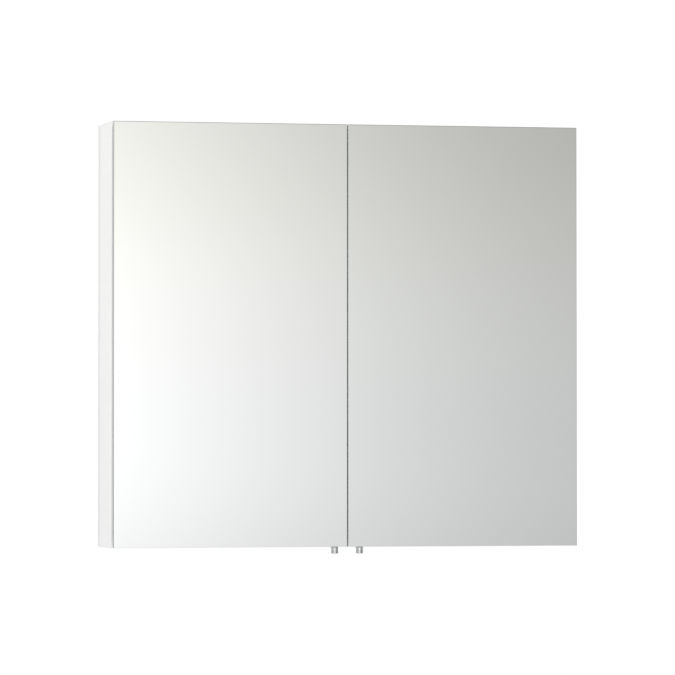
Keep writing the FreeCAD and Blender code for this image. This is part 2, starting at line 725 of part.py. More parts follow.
def strike_plates():
    half = STRIKE_HEIGHT / 2
    plates = [block(CATCH_X - STRIKE_LENGTH / 2, CATCH_X + STRIKE_LENGTH / 2,
                    DOOR_BACK, DOOR_BACK + STRIKE_THICKNESS, z - half, z + half) for z in STRIKE_Z]
    holes = [countersink(point, ALONG_Y, STRIKE_SCREW) for point in strike_screw_points()]
    return [cut(plate, holes) for plate in plates]


def strike_screws():
    return [flush_screw(point, ALONG_Y, STRIKE_SCREW) for point in strike_screw_points()]


def door_buffers():
    """Clear domed buffers stuck to the door where it meets the top and bottom panels."""
    height = DOOR_GAP - BUFFER_GAP
    buffers = []
    for z in panel_mid_heights():
        dome = chamfer_face(rod(vec(0, 0, 0), ALONG_Z, BUFFER_RADIUS, height), 2, height, BUFFER_DOME)
        buffers.append(placed(dome, vec(-BUFFER_FROM_CENTRE, DOOR_BACK, z), ALONG_Y))
    return buffers


# Knobs

def knob_screw_point():
    return vec(-KNOB_FROM_CENTRE, KNOB_Y, BOTTOM - FOOT_PLAY)


def knob_bracket():
    """A tongue behind the door with a round foot under it that carries the knob."""
    x = -KNOB_FROM_CENTRE
    half = TONGUE_WIDTH / 2
    foot_low = BOTTOM - FOOT_PLAY - FOOT_THICKNESS
    back = DOOR_BACK + TONGUE_THICKNESS
    tongue = block(x - half, x + half, DOOR_BACK, back, foot_low, BOTTOM + TONGUE_HEIGHT)
    disc = rod(vec(x, KNOB_Y, foot_low), ALONG_Z, KNOB_RADIUS, FOOT_THICKNESS)
    bridge = block(x - half, x + half, KNOB_Y, back, foot_low, foot_low + FOOT_THICKNESS)
    holes = [rod(point, -ALONG_Y, TONGUE_SCREW[0], TONGUE_THICKNESS) for point in tongue_screw_points()]
    holes.append(countersink(knob_screw_point(), ALONG_Z, KNOB_SCREW))
    return cut(fused([tongue, disc, bridge]), holes)


def knob():
    """A turned cylinder with broken edges and a blind hole for its screw."""
    low = BOTTOM - KNOB_BELOW_DOOR
    high = BOTTOM - FOOT_PLAY - FOOT_THICKNESS
    body = rod(vec(-KNOB_FROM_CENTRE, KNOB_Y, low), ALONG_Z, KNOB_RADIUS, high - low)
    body = chamfer_face(body, 2, low, KNOB_CHAMFER)
    hole = rod(knob_screw_point(), -ALONG_Z, KNOB_SCREW[0], KNOB_SCREW[1] + HOLE_SPARE_DEPTH / 2)
    return body.cut(hole)


def knob_screws():
    """Two screws that hold the tongue to the door, and one that holds the knob."""
    screws = [raised_screw(point, ALONG_Y, TONGUE_SCREW) for point in tongue_screw_points()]
    screws.append(flush_screw(knob_screw_point(), ALONG_Z, KNOB_SCREW))
    return screws


# The carcass
save_pair("side_panel", side_panel())
save("top_panel", cross_panel(CEILING, TOP))
save("bottom_panel", cross_panel(BOTTOM, FLOOR))
save("centre_partition", centre_partition())
save("back_board", back_board())
save_group("front_edge_bands", edge_bands())
save_group("panel_dowels", dowels())
save_group("cam_locks", cam_locks())
save_group("cam_bolts", cam_bolts())
save_group("cam_caps", cam_caps())

# The shelves
for level, shelf_bottom in zip(("lower", "upper"), shelf_bottoms()):
    save_pair(level + "_shelf", glass_shelf(shelf_bottom))
save_group("shelf_pins", shelf_pins())

# The hangers
save_pair("hanger_housing", hanger_housing())
save_pair("hanger_hook", hanger_hook())
save_group("hanger_screws", adjusting_screws())
save_pair("hanger_cover", hanger_cover())
save_pair("wall_plate", wall_plate())

# The frame's half of each hinge, and the catches
save_pair("hinge_frame_leaf", hinge_leaf(1, 0, PIN_RADIUS))
save_pair("hinge_pin", hinge_pin())
save_group("hinge_frame_screws",
           both_hands([raised_screw(point, -ALONG_Y, HINGE_SCREW) for point in hinge_screw_points()]))
save_group("catch_housings", both_hands(catch_housings()))
save_group("catch_magnets", both_hands(catch_magnet_blocks()))
save_group("catch_screws", both_hands(catch_screws()))

# The doors
save_pair("front_mirror", front_mirror())
save_pair("backing_board", backing_board())
save_pair("inner_mirror", inner_mirror())
save_pair("hinge_door_leaf", hinge_leaf(-1, 1, PIN_RADIUS + RUNNING_CLEARANCE))
save_pair("hinge_rivets",
          Part.makeCompound([rivet(point, ALONG_Y, HINGE_RIVET) for point in rivet_points()]))
save_pair("strike_plates", Part.makeCompound(strike_plates()))
save_pair("strike_screws", Part.makeCompound(strike_screws()))
save_pair("door_buffers", Part.makeCompound(door_buffers()))
save_pair("knob_bracket", knob_bracket())
save_pair("knob", knob())
save_pair("knob_screws", Part.makeCompound(knob_screws()))

print("left hinge axis", AXIS_X, AXIS_Y)
print("bottom", BOTTOM, "top", TOP, "shelf undersides", shelf_bottoms())
print("wall holes", PLATE_X, WALL_HOLE_HALF_SPACING)
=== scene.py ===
# %% [markdown]
# # A wall-hung bathroom cabinet with two mirrored doors
#
# The joinery, hinges, hangers and screws arrive from the CAD model with their true sizes and places.
# This script gives every one of them a finish. It also makes again the pieces whose beauty lies in
# a worked edge: the sheets of glass, the turned knobs and pins, the caps and the soft buffers.
# Lengths are in metres, +X is to the right, the doors face -Y and +Z is up.

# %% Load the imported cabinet
import math

import bmesh
import bpy
import numpy as np
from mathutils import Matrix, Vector


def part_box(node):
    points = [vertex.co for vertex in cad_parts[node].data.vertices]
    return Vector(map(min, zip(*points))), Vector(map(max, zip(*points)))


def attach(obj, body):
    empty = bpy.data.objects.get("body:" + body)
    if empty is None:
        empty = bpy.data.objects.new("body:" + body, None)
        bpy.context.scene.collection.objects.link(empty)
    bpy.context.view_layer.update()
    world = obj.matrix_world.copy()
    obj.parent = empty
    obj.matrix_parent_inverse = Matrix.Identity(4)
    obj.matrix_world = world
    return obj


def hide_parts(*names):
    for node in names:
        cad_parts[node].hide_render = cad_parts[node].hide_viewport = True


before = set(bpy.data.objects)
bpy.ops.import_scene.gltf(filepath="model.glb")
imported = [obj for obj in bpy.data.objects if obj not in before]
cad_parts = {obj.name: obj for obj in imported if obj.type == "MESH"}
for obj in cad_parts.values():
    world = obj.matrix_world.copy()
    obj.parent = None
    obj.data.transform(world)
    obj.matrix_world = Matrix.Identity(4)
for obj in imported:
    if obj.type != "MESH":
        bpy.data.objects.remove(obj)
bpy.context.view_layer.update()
MM = 0.001

# %% [markdown]
# ## The camera
#
# A long lens from eight metres away keeps the uprights nearly parallel, as is usual for a product
# view. The camera stands a little to the left of the cabinet and slightly below its middle, so the
# left side shows as a narrow strip. A constraint could aim it, but a direction worked out from two
# angles leaves nothing live in the file.

# %% Place the camera from two angles and a distance
CAMERA_AZIMUTH = math.radians(-12.92)
CAMERA_ELEVATION = math.radians(-1.20)
CAMERA_DISTANCE = 8.05
AIM_ASIDE = -1.45 * MM
AIM_DOWN = 2.0 * MM
LENS_MM = 253.4


def direction_around(azimuth, elevation):
    """The way from the cabinet to a place around it: azimuth 0 is straight in front, to the -Y side."""
    level = math.cos(elevation)
    return Vector((math.sin(azimuth) * level, -math.cos(azimuth) * level, math.sin(elevation)))


side_low, side_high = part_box("left_side_panel")
door_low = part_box("left_front_mirror")[0]
aim = Vector((AIM_ASIDE, door_low.y / 2, (side_low.z + side_high.z) / 2 - AIM_DOWN))
towards_camera = direction_around(CAMERA_AZIMUTH, CAMERA_ELEVATION)
lens = bpy.data.cameras.new("studio_camera")
lens.lens = LENS_MM
lens.clip_end = 100
camera = bpy.data.objects.new("studio_camera", lens)
camera.location = aim + towards_camera * CAMERA_DISTANCE
camera.rotation_mode = "QUATERNION"
camera.rotation_quaternion = (-towards_camera).to_track_quat("-Z", "Y")
bpy.context.scene.collection.objects.link(camera)
bpy.context.scene.camera = camera
bpy.context.scene.view_settings.view_transform = "Standard"
print("camera at", [round(v, 3) for v in camera.location])

# %% [markdown]
# ## Nodes without the clutter
#
# A shader is a small graph, and building it by hand takes three lines for each node. Four helpers
# shorten that. One adds a node and fills or links its inputs, one does a step of arithmetic, one
# eases a value from a low to a high, and one mixes two colours.

# %% Four helpers for building shaders
def add_node(tree, kind, inputs=None, **settings):
    """Add a shader node, set its properties, then fill or link its inputs by name or place."""
    made = tree.nodes.new("ShaderNode" + kind)
    for key, value in settings.items():
        setattr(made, key, value)
    for key, value in (inputs or {}).items():
        if isinstance(value, bpy.types.NodeSocket):
            tree.links.new(value, made.inputs[key])
        else:
            made.inputs[key].default_value = value
    return made


def work_out(tree, operation, *values):
    """One step of arithmetic on numbers or sockets."""
    return add_node(tree, "Math", dict(enumerate(values)), operation=operation).outputs[0]


def ease(tree, value, start, end, low, high):
    """Goes from low to high along an S-shaped curve while the value goes from start to end."""
    inputs = {"Value": value, "From Min": start, "From Max": end, "To Min": low, "To Max": high}
    return add_node(tree, "MapRange", inputs, interpolation_type="SMOOTHSTEP").outputs["Result"]


def mix_colours(tree, factor, first, second):
    """The first colour where the factor is 0, and the second where it is 1."""
    made = add_node(tree, "Mix", {0: factor, 6: first, 7: second}, data_type="RGBA")
    return made.outputs[2]


print("node helpers:", [helper.__name__ for helper in (add_node, work_out, ease, mix_colours)])

# %% [markdown]
# ## The studio
#
# A mirror shows nothing of its own, only the room in front of it, so the room is most of its look.
# The studio has one broad soft panel ahead of the cabinet. Its light fades off to both sides, and
# above and below. The fade to the right and above is the grey slope seen in the doors. A card with
# a gradient could stand there, but a surround that depends only on direction costs nothing to
# trace, and every door angle finds a sensible place in it. What the camera sees behind the cabinet
# is plain white.

# %% The direction that a ray looks in, as two angles in degrees
world = bpy.data.worlds.new("studio_surround")
world.use_nodes = True
sky = world.node_tree
sky.nodes.clear()
view_way = add_node(sky, "SeparateXYZ", {0: add_node(sky, "TexCoord").outputs["Generated"]}).outputs
to_front = work_out(sky, "MULTIPLY", view_way[1], -1.0)
azimuth = work_out(sky, "DEGREES", work_out(sky, "ARCTAN2", view_way[0], to_front))
elevation = work_out(sky, "DEGREES", work_out(sky, "ARCSINE", view_way[2]))
print("surround nodes for the direction:", len(sky.nodes))

# %% How bright the room is all round: one soft panel, then a rise or fall here and there
PANEL_LIGHT = 2.22
# the panel fades to RIGHT_LIGHT between these two azimuths, in degrees
PANEL_EDGE = (-1.56, 17.69)
RIGHT_LIGHT = 0.575
# each change is (start, end, amount), in degrees to the right or to the left of straight ahead
RIGHTWARD_CHANGES = [(17.69, 45.0, -0.17), (104.0, 122.0, 0.27), (120.0, 175.0, 0.225)]
LEFTWARD_CHANGES = [(1.56, 13.56, -1.20), (20.0, 60.0, -0.21), (60.0, 100.0, -0.17), (115.0, 165.0, 0.26)]
# slow swells all round, so that a mirror at any angle still shows a slope
SWELLS = 9.0
SWELL_START = 135.0
SWELL_FADE_IN = (22.0, 40.0)
SWELL_HEIGHT = 0.2


def panel_brightness(tree, azimuth):
    """The panel's light, plus each change, plus a share of cos(SWELLS * azimuth + SWELL_START)."""
    leftwards = work_out(tree, "MULTIPLY", azimuth, -1.0)
    light = ease(tree, azimuth, *PANEL_EDGE, PANEL_LIGHT, RIGHT_LIGHT)
    for turn, changes in ((azimuth, RIGHTWARD_CHANGES), (leftwards, LEFTWARD_CHANGES)):
        for start, end, amount in changes:
            light = work_out(tree, "ADD", light, ease(tree, turn, start, end, 0.0, amount))
    wave = work_out(tree, "MULTIPLY_ADD", azimuth, math.radians(SWELLS), math.radians(SWELL_START))
    swell = work_out(tree, "COSINE", wave)
    away = ease(tree, work_out(tree, "ABSOLUTE", azimuth), *SWELL_FADE_IN, 0.0, SWELL_HEIGHT)
    return work_out(tree, "MULTIPLY_ADD", swell, away, light)


brightness = panel_brightness(sky, azimuth)
print("surround nodes with the panel:", len(sky.nodes))

# %% How the light fades above and below eye level
# each fade is (start, end, share left), in degrees, and it starts lower to the right of the panel
FADE_UP = (1.05, 5.15, 0.787)
FADE_DOWN = (0.21, 4.0, 0.70)
FADE_TILT = 0.08
TILT_RANGE = (0.5, 25.5)
slant = add_node(sky, "Clamp", {0: azimuth, 1: TILT_RANGE[0], 2: TILT_RANGE[1]}).outputs[0]
from_middle = work_out(sky, "SUBTRACT", slant, sum(TILT_RANGE) / 2)
upwards = work_out(sky, "MULTIPLY_ADD", from_middle, FADE_TILT, elevation)
downwards = work_out(sky, "MULTIPLY", upwards, -1.0)
for turn, (start, end, share_left) in ((upwards, FADE_UP), (downwards, FADE_DOWN)):
    brightness = work_out(sky, "MULTIPLY", brightness, ease(sky, turn, start, end, 1.0, share_left))
print("surround nodes with the fades:", len(sky.nodes))

# %% The tint of the panel's light, and the plain tones of ceiling and floor
GROUND_TINT = (0.992, 1.0, 1.0, 1.0)
SKY_TINT = (1.0, 1.0, 0.955, 1.0)
PLAIN_WHITE = (1.0, 1.0, 1.0, 1.0)
WARM_RISE = (0.2, 3.0)
WARM_END = (4.5, 9.0)
# each tone takes over between two elevations, in degrees: ceiling, zenith, floor, underfoot
TONES = [(14.0, 55.0, (0.46, 0.46, 0.46, 1.0)), (50.0, 72.0, (0.14, 0.14, 0.14, 1.0)),
         (-6.0, -26.0, (0.77, 0.77, 0.765, 1.0)), (-62.0, -75.0, (0.90, 0.90, 0.90, 1.0))]
tint = mix_colours(sky, ease(sky, elevation, *WARM_RISE, 0.0, 1.0), GROUND_TINT, SKY_TINT)
tint = mix_colours(sky, ease(sky, elevation, *WARM_END, 0.0, 1.0), tint, PLAIN_WHITE)
reflected = add_node(sky, "VectorMath", {0: tint, 3: brightness}, operation="SCALE").outputs[0]
for start, end, tone in TONES:
    reflected = mix_colours(sky, ease(sky, elevation, start, end, 0.0, 1.0), reflected, tone)
print("surround nodes with the tones:", len(sky.nodes))

# %% Which part of the surround each kind of ray finds
LIGHT_FROM_BELOW = (0.56, 0.56, 0.56, 1.0)
LIGHT_FROM_ABOVE = (0.84, 0.84, 0.84, 1.0)
ROOM_RISE = (-70.0, 70.0)
upward = ease(sky, elevation, *ROOM_RISE, 0.0, 1.0)
room = mix_colours(sky, upward, LIGHT_FROM_BELOW, LIGHT_FROM_ABOVE)
ray = add_node(sky, "LightPath").outputs
colour = mix_colours(sky, ray["Is Glossy Ray"], room, reflected)
colour = mix_colours(sky, ray["Is Camera Ray"], colour, PLAIN_WHITE)
background = add_node(sky, "Background", {"Color": colour})
sky.links.new(background.outputs[0], add_node(sky, "OutputWorld").inputs[0])
bpy.context.scene.world = world
print("surround nodes:", len(sky.nodes))

# %% [markdown]
# ## Two soft lamps
#
# A surround alone lights every face nearly the same, so a white box looks flat. A key lamp on the
# left and a weaker fill lamp on the right give the boards a light side and a shaded side. Both are
# large squares, because a large lamp makes soft shadows. They are hidden from mirrors and from the
# camera, so the mirrors only ever show the surround.

# %% Two soft lamps that give the white boards a light and a shaded side
def soft_lamp(name, azimuth, elevation, distance, size, power):
    """A large square lamp that looks at the middle of the cabinet and doesn't show in mirrors."""
    light = bpy.data.lights.new(name, "AREA")
    light.size = size
    light.energy = power
    way = direction_around(math.radians(azimuth), math.radians(elevation))
    lamp = bpy.data.objects.new(name, light)
    lamp.location = aim + way * distance
    lamp.rotation_mode = "QUATERNION"
    lamp.rotation_quaternion = (-way).to_track_quat("-Z", "Y")
    lamp.visible_glossy = False
    lamp.visible_camera = False
    bpy.context.scene.collection.objects.link(lamp)
    print(name, power, "W at", [round(v, 2) for v in lamp.location])


soft_lamp("key_lamp", azimuth=-52.0, elevation=24.0, distance=4.2, size=2.2, power=75.0)
soft_lamp("fill_lamp", azimuth=48.0, elevation=10.0, distance=4.6, size=2.6, power=32.0)

# %% [markdown]
# ## Shapes from rings
#
# Every new piece here is a closed skin over a stack of rings. A turned knob is a profile swept
# round an axis. A sheet of glass is a rounded rectangle drawn again and again while its edge is
# followed from one face to the other. One function turns such rings into a mesh, so each piece
# only has to say where its rings are. Spin and Bevel tools could do the same by hand, but rings
# worked out with numpy keep the sizes in plain sight.

# %% A closed skin over stacks of rings
def skin(name, stacks, band_slots=0, sharp_degrees=38.0):
    """One mesh from an array of stacks, where stacks[k, i, j] is point j of ring i of shape k.

    Quads join neighbouring rings and one flat polygon closes each end. band_slots is the material
    slot of the quads, or a list with one slot for each band between rings. The ends take slot 0.
    """
    shapes, rings, around = stacks.shape[:3]
    index = np.arange(shapes * rings * around).reshape(shapes, rings, around)
    after = np.roll(index, -1, axis=2)
    quads = np.stack([index[:, :-1], after[:, :-1], after[:, 1:], index[:, 1:]], axis=-1)
    quads = quads.reshape(-1, 4)
    ends = np.concatenate([index[:, 0], index[:, -1, ::-1]])
    mesh = bpy.data.meshes.new(name)
    mesh.from_pydata(stacks.reshape(-1, 3).tolist(), [], quads.tolist() + ends.tolist())
    bands = np.broadcast_to(np.reshape(band_slots, (1, -1, 1)), (shapes, rings - 1, around))
    slots = np.concatenate([bands.ravel(), np.zeros(len(ends), int)]).astype(np.int32)
    mesh.polygons.foreach_set("material_index", slots)
    shell = bmesh.new()
    shell.from_mesh(mesh)
    bmesh.ops.recalc_face_normals(shell, faces=shell.faces)
    shell.to_mesh(mesh)
    shell.free()
    mesh.set_sharp_from_angle(angle=math.radians(sharp_degrees))
    mesh.polygons.foreach_set("use_smooth", np.arange(len(mesh.polygons)) < len(quads))
    piece = bpy.data.objects.new(name, mesh)
    bpy.context.scene.collection.objects.link(piece)
    print(name, "faces:", len(mesh.polygons))
    return piece


# %% Rings of a turned shape
def arc(centre_radius, centre_height, radius, start, end, steps=7):
    """Points of an arc in the plane of radius and height: centre + radius * (cos, sin) of the angle.

    The angle goes evenly from start to end in degrees, and 0 points outwards.
    """
    angle = np.radians(np.linspace(start, end, steps))
    return np.column_stack([centre_radius + radius * np.cos(angle),
                            centre_height + radius * np.sin(angle)])


def turned(profile, centre, axis, around=56):
    """Each (radius, height) of the profile swept round an axis that lies along X, Y or Z.

    A point is centre + height * axis + radius * (cos(angle) * u + sin(angle) * v), where u and v
    are the other two directions.
    """
    axis = np.array(axis, float)
    u = np.roll(np.abs(axis), 1)
    v = np.cross(axis, u)
    angle = np.linspace(0, 2 * np.pi, around, endpoint=False)
    circle = np.cos(angle)[:, None] * u + np.sin(angle)[:, None] * v
    radius, height = np.array(profile).T
    return (np.array(centre, float) + height[:, None, None] * axis
            + radius[:, None, None] * circle)


print("points in a quarter arc:", len(arc(0, 0, 1, 0, 90)))

# %% Rings of a flat sheet with round corners and a worked edge
def sheet_rings(low, high, thin_axis, corner, edge, steps=9):
    """A rounded rectangle drawn once for each (inset, depth) of the edge.

    Each corner is a quarter circle of radius corner - inset about a fixed centre, so every ring
    stays parallel to the others. Depth runs along thin_axis from the low face.
    """
    low, high = np.array(low), np.array(high)
    a, b = [axis for axis in range(3) if axis != thin_axis]
    mid, half = (low + high) / 2, (high - low) / 2
    angle = np.linspace(0, np.pi / 2, steps) + np.arange(4)[:, None] * np.pi / 2
    right = np.array([1, -1, -1, 1])[:, None] * (half[a] - corner)
    upper = np.array([1, 1, -1, -1])[:, None] * (half[b] - corner)
    rings = np.empty((len(edge), 4 * steps, 3))
    for ring, (inset, depth) in zip(rings, edge):
        ring[:, a] = (mid[a] + right + (corner - inset) * np.cos(angle)).ravel()
        ring[:, b] = (mid[b] + upper + (corner - inset) * np.sin(angle)).ravel()
        ring[:, thin_axis] = low[thin_axis] + depth
    return rings


print("points round a sheet:", sheet_rings((0, 0, 0), (1, 1, 1), 2, 0.1, [(0, 0)]).shape[1])

# %% [markdown]
# ## Effects that several finishes share
#
# Real surfaces are never one flat value. Colour drifts slowly, gloss changes where hands and cloths
# have been, moulded and coated faces have a fine skin, drawn metal has a grain, and a board or a
# sheet is a little different along its edges. Each effect is a node group with its own inputs, so
# each finish can ask for as much of it as it needs.

# %% A helper that starts a node group
def new_group(name, inputs, outputs):
    """An empty shader group with named sockets; gives the group, its inputs and its output node."""
    group = bpy.data.node_groups.new(name, "ShaderNodeTree")
    for label, kind in inputs:
        group.interface.new_socket(label, in_out="INPUT", socket_type="NodeSocket" + kind)
    for label, kind in outputs:
        group.interface.new_socket(label, in_out="OUTPUT", socket_type="NodeSocket" + kind)
    taken = group.nodes.new("NodeGroupInput").outputs
    return group, taken, group.nodes.new("NodeGroupOutput")


def use_group(tree, group, inputs):
    """Place a group in a shader, fill or link its inputs, and give back its outputs."""
    return add_node(tree, "Group", inputs, node_tree=group).outputs


# %% Slow drift: a colour that wanders a little lighter and darker
drift, taken, out = new_group(
    "slow_drift",
    [("Position", "Vector"), ("Colour", "Color"), ("Scale", "Float"), ("Amount", "Float")],
    [("Colour", "Color")])
wander = add_node(drift, "TexNoise", {"Vector": taken["Position"], "Scale": taken["Scale"], "Detail": 3.0})
swing = work_out(drift, "MULTIPLY", work_out(drift, "SUBTRACT", wander.outputs[0], 0.5), 2.0)
share = work_out(drift, "MULTIPLY_ADD", swing, taken["Amount"], 1.0)
shaded = add_node(drift, "VectorMath", {0: taken["Colour"], 3: share}, operation="SCALE")
drift.links.new(shaded.outputs[0], out.inputs["Colour"])
print(drift.name, "nodes:", len(drift.nodes))

# %% Fine skin: the tiny hills of a pressed, sprayed or moulded surface
BROAD_SCALE = 0.17
BROAD_WEIGHT = 1.5
fine_skin, taken, out = new_group(
    "fine_skin", [("Position", "Vector"), ("Scale", "Float")], [("Height", "Float")])
small = add_node(fine_skin, "TexNoise", {"Vector": taken["Position"], "Scale": taken["Scale"], "Detail": 2.0})
broad_scale = work_out(fine_skin, "MULTIPLY", taken["Scale"], BROAD_SCALE)
broad = add_node(fine_skin, "TexNoise", {"Vector": taken["Position"], "Scale": broad_scale, "Detail": 2.0})
height = work_out(fine_skin, "MULTIPLY_ADD", broad.outputs[0], BROAD_WEIGHT, small.outputs[0])
fine_skin.links.new(height, out.inputs["Height"])
print(fine_skin.name, "nodes:", len(fine_skin.nodes))

# %% Handling marks: wiped streaks and smudges that dull the gloss here and there
WIPE_STRETCH = (0.35, 1.0, 2.6)
STREAK_SCALE = 2.2
MARKED_FROM = (0.18, 0.42)
handling, taken, out = new_group(
    "handling_marks",
    [("Position", "Vector"), ("Scale", "Float"), ("Clean", "Float"), ("Marked", "Float")],
    [("Roughness", "Float")])
smudge = add_node(handling, "TexNoise", {"Vector": taken["Position"], "Scale": taken["Scale"], "Detail": 5.0})
wiped = add_node(handling, "VectorMath", {0: taken["Position"], 1: WIPE_STRETCH}, operation="MULTIPLY")
streak_scale = work_out(handling, "MULTIPLY", taken["Scale"], STREAK_SCALE)
streak = add_node(handling, "TexNoise", {"Vector": wiped.outputs[0], "Scale": streak_scale, "Detail": 3.0})
both = work_out(handling, "MULTIPLY", smudge.outputs[0], streak.outputs[0])
marked = ease(handling, both, *MARKED_FROM, 0.0, 1.0)
span = work_out(handling, "SUBTRACT", taken["Marked"], taken["Clean"])
dulled = work_out(handling, "MULTIPLY_ADD", marked, span, taken["Clean"])
handling.links.new(dulled, out.inputs["Roughness"])
print(handling.name, "nodes:", len(handling.nodes))

# %% Drawn grain: noise pulled out along one direction, for metal, wood and ground edges
grain, taken, out = new_group(
    "drawn_grain", [("Position", "Vector"), ("Stretch", "Vector"), ("Scale", "Float")],
    [("Height", "Float")])
pulled = add_node(grain, "VectorMath", {0: taken["Position"], 1: taken["Stretch"]}, operation="MULTIPLY")
lines = add_node(grain, "TexNoise", {"Vector": pulled.outputs[0], "Scale": taken["Scale"], "Detail": 4.0})
grain.links.new(lines.outputs[0], out.inputs["Height"])
print(grain.name, "nodes:", len(grain.nodes))

# %% Near an edge: 1 along the twelve edges of a box and 0 away from them
near_edge, taken, out = new_group(
    "near_edge",
    [("Position", "Vector"), ("Low", "Vector"), ("High", "Vector"), ("Width", "Float")],
    [("Mask", "Float")])
from_low = add_node(near_edge, "VectorMath", {0: taken["Position"], 1: taken["Low"]}, operation="SUBTRACT")
from_high = add_node(near_edge, "VectorMath", {0: taken["High"], 1: taken["Position"]}, operation="SUBTRACT")
nearest = add_node(near_edge, "VectorMath", {0: from_low.outputs[0], 1: from_high.outputs[0]},
                   operation="MINIMUM")
gap = add_node(near_edge, "SeparateXYZ", {0: nearest.outputs[0]}).outputs
smaller = work_out(near_edge, "MINIMUM", gap[0], gap[1])
larger = work_out(near_edge, "MAXIMUM", gap[0], gap[1])
second = work_out(near_edge, "MAXIMUM", smaller, work_out(near_edge, "MINIMUM", larger, gap[2]))
mask = ease(near_edge, second, 0.0, taken["Width"], 1.0, 0.0)
near_edge.links.new(mask, out.inputs["Mask"])
print("groups:", [group.name for group in bpy.data.node_groups])


# %% A helper that starts a finish
def new_finish(name, **numbers):
    """A material with one Principled shader; plain numbers go on the shader's own sockets."""
    material = bpy.data.materials.new(name)
    material.use_nodes = True
    tree = material.node_tree
    shader = tree.nodes["Principled BSDF"]
    for key, value in numbers.items():
        shader.inputs[key.replace("_", " ")].default_value = value
    position = add_node(tree, "TexCoord").outputs["Object"]
    return material, tree, shader, position


def set_bump(tree, shader, height, depth, strength=1.0):
    """Let a height tilt the surface, where depth is how tall a height of 1 is, in metres."""
    bump = add_node(tree, "Bump", {"Height": height, "Distance": depth, "Strength": strength})
    tree.links.new(bump.outputs["Normal"], shader.inputs["Normal"])


# %% [markdown]
# ## White boards
#
# The carcass is chipboard with a white melamine skin, pressed against a very slightly textured
# plate. Its colour is even, its gloss is soft, and a thin line shows along each edge where the
# skin ends and the edging begins. A narrow strip by the wall is painted greyer: painted shade that
# stands in for the wall's shade on the rear edge of each board. A flat white would look like
# paper, so the finish has a fine skin, a little drift, faint wiping marks, that edge line and that
# strip of painted shade.

# %% Melamine board, one finish for each board because the edge line follows its box
WHITE = (0.875, 0.875, 0.87, 1.0)
EDGE_LINE = (0.60, 0.60, 0.59, 1.0)
# painted shade: the last millimetres of every board by the wall are greyer, as if in the wall's shade
WALL_PAINTED_SHADE = (0.715, 0.715, 0.715, 1.0)
WALL_PAINTED_SHADE_START = -13.0 * MM
WALL_PAINTED_SHADE_FULL = -11.5 * MM


def melamine(node):
    """White board with a strip of painted shade by the wall, and greyer along the edges of the node's own
    box.
    """
    material, tree, shader, position = new_finish("melamine_" + node, IOR=1.5)
    low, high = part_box(node)
    tone = use_group(tree, drift, {"Position": position, "Colour": WHITE, "Scale": 5.0, "Amount": 0.012})
    edge = use_group(tree, near_edge, {"Position": position, "Low": low, "High": high, "Width": 1.1 * MM})
    depth = add_node(tree, "SeparateXYZ", {0: position}).outputs[1]
    # the strip of painted shade by the wall
    painted_wall_shade = ease(tree, depth, WALL_PAINTED_SHADE_START, WALL_PAINTED_SHADE_FULL, 0.0, 1.0)
    colour = mix_colours(tree, painted_wall_shade, tone["Colour"], WALL_PAINTED_SHADE)
    colour = mix_colours(tree, edge["Mask"], colour, EDGE_LINE)
    tree.links.new(colour, shader.inputs["Base Color"])
    marks = use_group(tree, handling, {"Position": position, "Scale": 9.0, "Clean": 0.34, "Marked": 0.46})
    tree.links.new(marks["Roughness"], shader.inputs["Roughness"])
    skin_height = use_group(tree, fine_skin, {"Position": position, "Scale": 900.0})
    set_bump(tree, shader, skin_height["Height"], 0.02 * MM, strength=0.5)
    return material


def dress(node, material):
    """Give a CAD node its finish."""
    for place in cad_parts[node].material_slots:
        place.material = material


BOARDS = ["left_side_panel", "right_side_panel", "top_panel", "bottom_panel", "centre_partition"]
for board in BOARDS:
    dress(board, melamine(board))
print("boards:", len(BOARDS))

# %% [markdown]
# ## Plain whites
#
# The thin back board, the edging tape and the moulded hanger parts are white too, but each has its
# own gloss and its own skin: hardboard is the dullest and roughest, tape is smooth, and moulded
# plastic shines a little. One function with a few numbers covers all three.

# %% Plain whites: the thin back board, the edging and the moulded plastic
def plain_white(name, colour, clean, marked, skin_scale, skin_depth, amount):
    """A white finish with drift, handling marks and a fine skin of its own scale."""
    material, tree, shader, position = new_finish(name, IOR=1.48)
    tone = use_group(tree, drift, {"Position": position, "Colour": colour, "Scale": 12.0, "Amount": amount})
    tree.links.new(tone["Colour"], shader.inputs["Base Color"])
    marks = use_group(tree, handling, {"Position": position, "Scale": 20.0, "Clean": clean, "Marked": marked})
    tree.links.new(marks["Roughness"], shader.inputs["Roughness"])
    height = use_group(tree, fine_skin, {"Position": position, "Scale": skin_scale})
    set_bump(tree, shader, height["Height"], skin_depth, strength=0.5)
    return material


back_white = plain_white("back_board_white", (0.84, 0.84, 0.83, 1.0), clean=0.48, marked=0.60,
                         skin_scale=420.0, skin_depth=0.04 * MM, amount=0.02)
band_white = plain_white("edging_white", (0.87, 0.87, 0.862, 1.0), clean=0.30, marked=0.42,
                         skin_scale=1400.0, skin_depth=0.01 * MM, amount=0.01)
moulded_white = plain_white("moulded_white", (0.86, 0.86, 0.845, 1.0), clean=0.26, marked=0.38,
                            skin_scale=2200.0, skin_depth=0.012 * MM, amount=0.015)
dress("back_board", back_white)
dress("front_edge_bands", band_white)
MOULDED = ["left_hanger_housing", "right_hanger_housing", "left_hanger_cover", "right_hanger_cover",
           "catch_housings"]
for node in MOULDED:
    dress(node, moulded_white)
print("moulded parts:", len(MOULDED))
